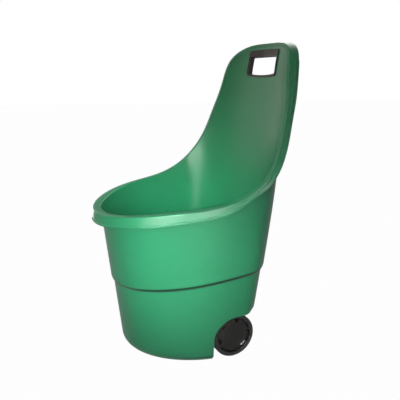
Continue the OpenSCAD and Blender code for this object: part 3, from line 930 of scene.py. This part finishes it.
finishes = {
    "green tub plastic": {
        "dark": (0.032, 0.325, 0.148), "light": (0.038, 0.355, 0.166), "worn": (0.08, 0.42, 0.22),
        "grainScale": 1400.0, "driftScale": 4.0, "rough": (0.3, 0.37), "edge": (0.56, 0.68),
        "edgePatch": 30.0, "scuffScale": 70.0, "scuff": 0.08, "scuffRough": 0.1, "bump": 0.08,
        # the last entry is the painted shade colour for the band under the step
        "bumpDepth": 0.0002, "specular": 0.45, "paintedShade": (0.006, 0.03, 0.018),
    },
    "brown grip plastic": {
        "dark": (0.03, 0.022, 0.018), "light": (0.04, 0.03, 0.025), "worn": (0.1, 0.08, 0.07),
        "grainScale": 1600.0, "driftScale": 20.0, "rough": (0.45, 0.6), "edge": (0.53, 0.6),
        "edgePatch": 60.0, "scuffScale": 40.0, "scuff": 0.3, "scuffRough": 0.15, "bump": 0.3,
        "bumpDepth": 0.0002, "specular": 0.45,
    },
    "black wheel plastic": {
        "dark": (0.012, 0.011, 0.0095), "light": (0.018, 0.017, 0.015), "worn": (0.08, 0.075, 0.07),
        "grainScale": 1800.0, "driftScale": 25.0, "rough": (0.22, 0.32), "edge": (0.53, 0.6),
        "edgePatch": 80.0, "scuffScale": 50.0, "scuff": 0.3, "scuffRough": 0.2, "bump": 0.15,
        "bumpDepth": 0.0001, "specular": 0.6,
    },
    "black cap plastic": {
        "dark": (0.009, 0.008, 0.0065), "light": (0.013, 0.012, 0.0102),
        "worn": (0.07, 0.065, 0.06),
        "grainScale": 1500.0, "driftScale": 25.0, "rough": (0.42, 0.55), "edge": (0.53, 0.6),
        "edgePatch": 80.0, "scuffScale": 50.0, "scuff": 0.3, "scuffRough": 0.2, "bump": 0.25,
        "bumpDepth": 0.0002, "specular": 0.3,
    },
    "black tyre": {
        "dark": (0.009, 0.0085, 0.008), "light": (0.014, 0.013, 0.012), "worn": (0.05, 0.045, 0.04),
        "grainScale": 1200.0, "driftScale": 18.0, "rough": (0.5, 0.7), "edge": (0.52, 0.58),
        "edgePatch": 90.0, "scuffScale": 60.0, "scuff": 0.5, "scuffRough": 0.15, "bump": 0.4,
        "bumpDepth": 0.0003, "specular": 0.4,
    },
    "black clip plastic": {
        "dark": (0.014, 0.014, 0.014), "light": (0.022, 0.022, 0.022), "worn": (0.08, 0.08, 0.08),
        "grainScale": 1600.0, "driftScale": 30.0, "rough": (0.4, 0.55), "edge": (0.53, 0.6),
        "edgePatch": 80.0, "scuffScale": 50.0, "scuff": 0.3, "scuffRough": 0.2, "bump": 0.25,
        "bumpDepth": 0.0002, "specular": 0.45,
    },
    "zinc steel": {
        "dark": (0.5, 0.51, 0.53), "light": (0.64, 0.65, 0.66), "worn": (0.78, 0.77, 0.74),
        "grainScale": 900.0, "driftScale": 60.0, "rough": (0.24, 0.42), "edge": (0.53, 0.6),
        "edgePatch": 90.0, "scuffScale": 80.0, "scuff": 0.5, "scuffRough": 0.15, "bump": 0.2,
        "bumpDepth": 0.0001, "specular": 0.5, "metal": 1.0,
    },
    "bush plastic": {
        "dark": (0.62, 0.6, 0.55), "light": (0.74, 0.72, 0.67), "worn": (0.45, 0.42, 0.37),
        "grainScale": 1800.0, "driftScale": 40.0, "rough": (0.3, 0.42), "edge": (0.53, 0.6),
        "edgePatch": 80.0, "scuffScale": 60.0, "scuff": 0.4, "scuffRough": 0.2, "bump": 0.15,
        "bumpDepth": 0.0001, "specular": 0.5,
    },
}
made = {name: makeFinish(name, look) for name, look in finishes.items()}


def paint(piece, name):
    piece.data.materials.clear()
    piece.data.materials.append(made[name])


paint(tub, "green tub plastic")
paint(grip, "brown grip plastic")
paint(backFrame, "brown grip plastic")
wheelFinish = {"tyre": "black tyre", "wheel": "black wheel plastic", "hub_cap": "black cap plastic"}
for kind, piece in wheelPieces:
    paint(piece, wheelFinish[kind])
slotFinish = {"clip": "black clip plastic", "steel": "zinc steel", "bush": "bush plastic"}
for part in frame["record"]["subparts"]:
    finish = slotFinish.get(part["material_slot"])
    if finish:
        node = frame["nodes"][part["node"]]
        for slot in node.material_slots:
            slot.link = "OBJECT"
            slot.material = made[finish]
print("materials: done")


# lights, floor and camera
cameraPlace = {"look": (-0.0291, 0.0537, 0.3982), "azimuth": 64.84, "elevation": 13.43,
               "distance": 1.5, "lens": 45.75, "roll": 0.3}
lights = {
    "key": {"azimuth": 55, "elevation": 18, "distance": 1.4, "size": (0.3, 0.3), "power": 0.8,
            "spread": 32, "aim": (0.06, -0.045, 0.26), "colour": (0.95, 1, 0.98)},
    "high": {"azimuth": 80, "elevation": 45, "distance": 1.6, "size": (0.3, 0.3), "power": 0.42,
             "spread": 30, "aim": (-0.22, -0.03, 0.4), "colour": (1, 0.95, 0.88), "noShine": True},
    "front": {"azimuth": 12, "elevation": 14, "distance": 1.8, "size": (0.3, 0.3), "power": 0.3,
              "spread": 34, "aim": (0, 0.2, 0.66), "colour": (1, 0.74, 0.58), "noShine": True},
    "back": {"azimuth": 222, "elevation": 32, "distance": 2.6, "size": (1.2, 1.2), "power": 16,
             "colour": (1, 0.99, 0.97)},
    "veil": {"azimuth": -65, "elevation": 14, "distance": 2.4, "size": (2.6, 1.6), "power": 9,
             "aim": (0, 0, 0.5), "colour": (1, 0.96, 0.9), "shineOnly": True},
    "skirt": {"azimuth": 58, "elevation": -2, "distance": 2.4, "size": (2.7, 0.22), "power": 38,
              "aim": (0, 0, 0.33), "colour": (1, 1, 1), "shineOnly": True},
    "wheel": {"azimuth": 88, "elevation": 14, "distance": 2.2, "size": (0.6, 0.5), "power": 40,
              "aim": (0.18, 0.06, 0.06), "colour": (1, 0.98, 0.95), "shineOnly": True},
    "edge": {"azimuth": -84, "elevation": -7, "distance": 2.2, "size": (0.6, 0.3), "power": 26,
             "aim": (0, 0, 0.3), "colour": (1, 0.98, 0.98), "shineOnly": True},
}
studio = {
    "fill": 0.1, "shine": 0.3, "floorSeen": 0.985, "floorMirrored": 0.4, "floorGrey": 0.12,
    "floorHalf": 14000, "floorDrop": 0.4, "floorSteps": 9,
}


def direction(azimuth, elevation):
    a, e = math.radians(azimuth), math.radians(elevation)
    return Vector((math.sin(a) * math.cos(e), -math.cos(a) * math.cos(e), math.sin(e)))


def makeCamera(place):
    data = bpy.data.cameras.new("camera")
    camera = bpy.data.objects.new("camera", data)
    bpy.context.scene.collection.objects.link(camera)
    data.lens = place["lens"]
    data.sensor_width = 36
    back = direction(place["azimuth"], place["elevation"])
    camera.location = Vector(place["look"]) + back * place["distance"]
    turn = back.to_track_quat("Z", "Y").to_matrix().to_4x4()
    camera.rotation_euler = turn.to_euler()
    camera.rotation_euler.rotate_axis("Z", math.radians(place["roll"]))
    data.clip_start = 0.05
    bpy.context.scene.camera = camera


def makeLight(name, form):
    data = bpy.data.lights.new(name, "AREA")
    data.shape = "RECTANGLE"
    data.size, data.size_y = form["size"]
    data.energy = form["power"]
    data.color = form["colour"]
    data.spread = math.radians(form.get("spread", 180))
    lamp = bpy.data.objects.new(name, data)
    bpy.context.scene.collection.objects.link(lamp)
    back = direction(form["azimuth"], form["elevation"])
    lamp.location = Vector(form.get("aim", (0, 0, 0.4))) + back * form["distance"]
    lamp.rotation_euler = back.to_track_quat("Z", "Y").to_euler()
    lamp.visible_diffuse = not form.get("shineOnly", False)
    lamp.visible_glossy = not form.get("noShine", False)


def makeWorld():
    world = bpy.data.worlds.new("studio")
    bpy.context.scene.world = world
    world.use_nodes = True
    nodes, links = world.node_tree.nodes, world.node_tree.links
    nodes.clear()
    path = nodes.new("ShaderNodeLightPath")
    fill = nodes.new("ShaderNodeBackground")
    fill.inputs["Color"].default_value = (0.97, 0.98, 1, 1)
    fill.inputs["Strength"].default_value = studio["fill"]
    shine = nodes.new("ShaderNodeBackground")
    shine.inputs["Color"].default_value = (1, 0.99, 0.97, 1)
    shine.inputs["Strength"].default_value = studio["shine"]
    seen = nodes.new("ShaderNodeBackground")
    seen.inputs["Color"].default_value = (1, 1, 1, 1)
    mirror = nodes.new("ShaderNodeMixShader")
    pick = nodes.new("ShaderNodeMixShader")
    out = nodes.new("ShaderNodeOutputWorld")
    links.new(path.outputs["Is Glossy Ray"], mirror.inputs[0])
    links.new(fill.outputs[0], mirror.inputs[1])
    links.new(shine.outputs[0], mirror.inputs[2])
    links.new(path.outputs["Is Camera Ray"], pick.inputs[0])
    links.new(mirror.outputs[0], pick.inputs[1])
    links.new(seen.outputs[0], pick.inputs[2])
    links.new(pick.outputs[0], out.inputs[0])


def makeFloor():
    count = studio["floorSteps"]
    steps = np.linspace(-studio["floorHalf"], studio["floorHalf"], count)
    points = [(x, y, -studio["floorDrop"]) for y in steps for x in steps]
    corners = [j * count + i for j in range(count - 1) for i in range(count - 1)]
    faces = [(k, k + 1, k + count + 1, k + count) for k in corners]
    floor = makePiece("floor", points, faces)
    material = bpy.data.materials.new("pale floor")
    material.use_nodes = True
    nodes, links = material.node_tree.nodes, material.node_tree.links
    nodes.clear()
    path = nodes.new("ShaderNodeLightPath")
    plain = nodes.new("ShaderNodeBsdfDiffuse")
    plain.inputs["Color"].default_value = (*[studio["floorGrey"]] * 3, 1)
    bright = nodes.new("ShaderNodeEmission")
    bright.inputs["Color"].default_value = (1, 1, 1, 1)
    tree = material.node_tree
    share = mathNode(tree, "MULTIPLY", path.outputs["Is Camera Ray"], studio["floorSeen"])
    mirror = mathNode(tree, "MULTIPLY", path.outputs["Is Glossy Ray"], studio["floorMirrored"])
    pick = nodes.new("ShaderNodeMixShader")
    out = nodes.new("ShaderNodeOutputMaterial")
    links.new(mathNode(tree, "ADD", share, mirror), pick.inputs[0])
    links.new(plain.outputs[0], pick.inputs[1])
    links.new(bright.outputs[0], pick.inputs[2])
    links.new(pick.outputs[0], out.inputs[0])
    floor.data.materials.append(material)


bpy.context.scene.view_settings.view_transform = "Standard"
makeCamera(cameraPlace)
for name, form in lights.items():
    makeLight(name, form)
makeWorld()
makeFloor()
print("camera and lights ready")
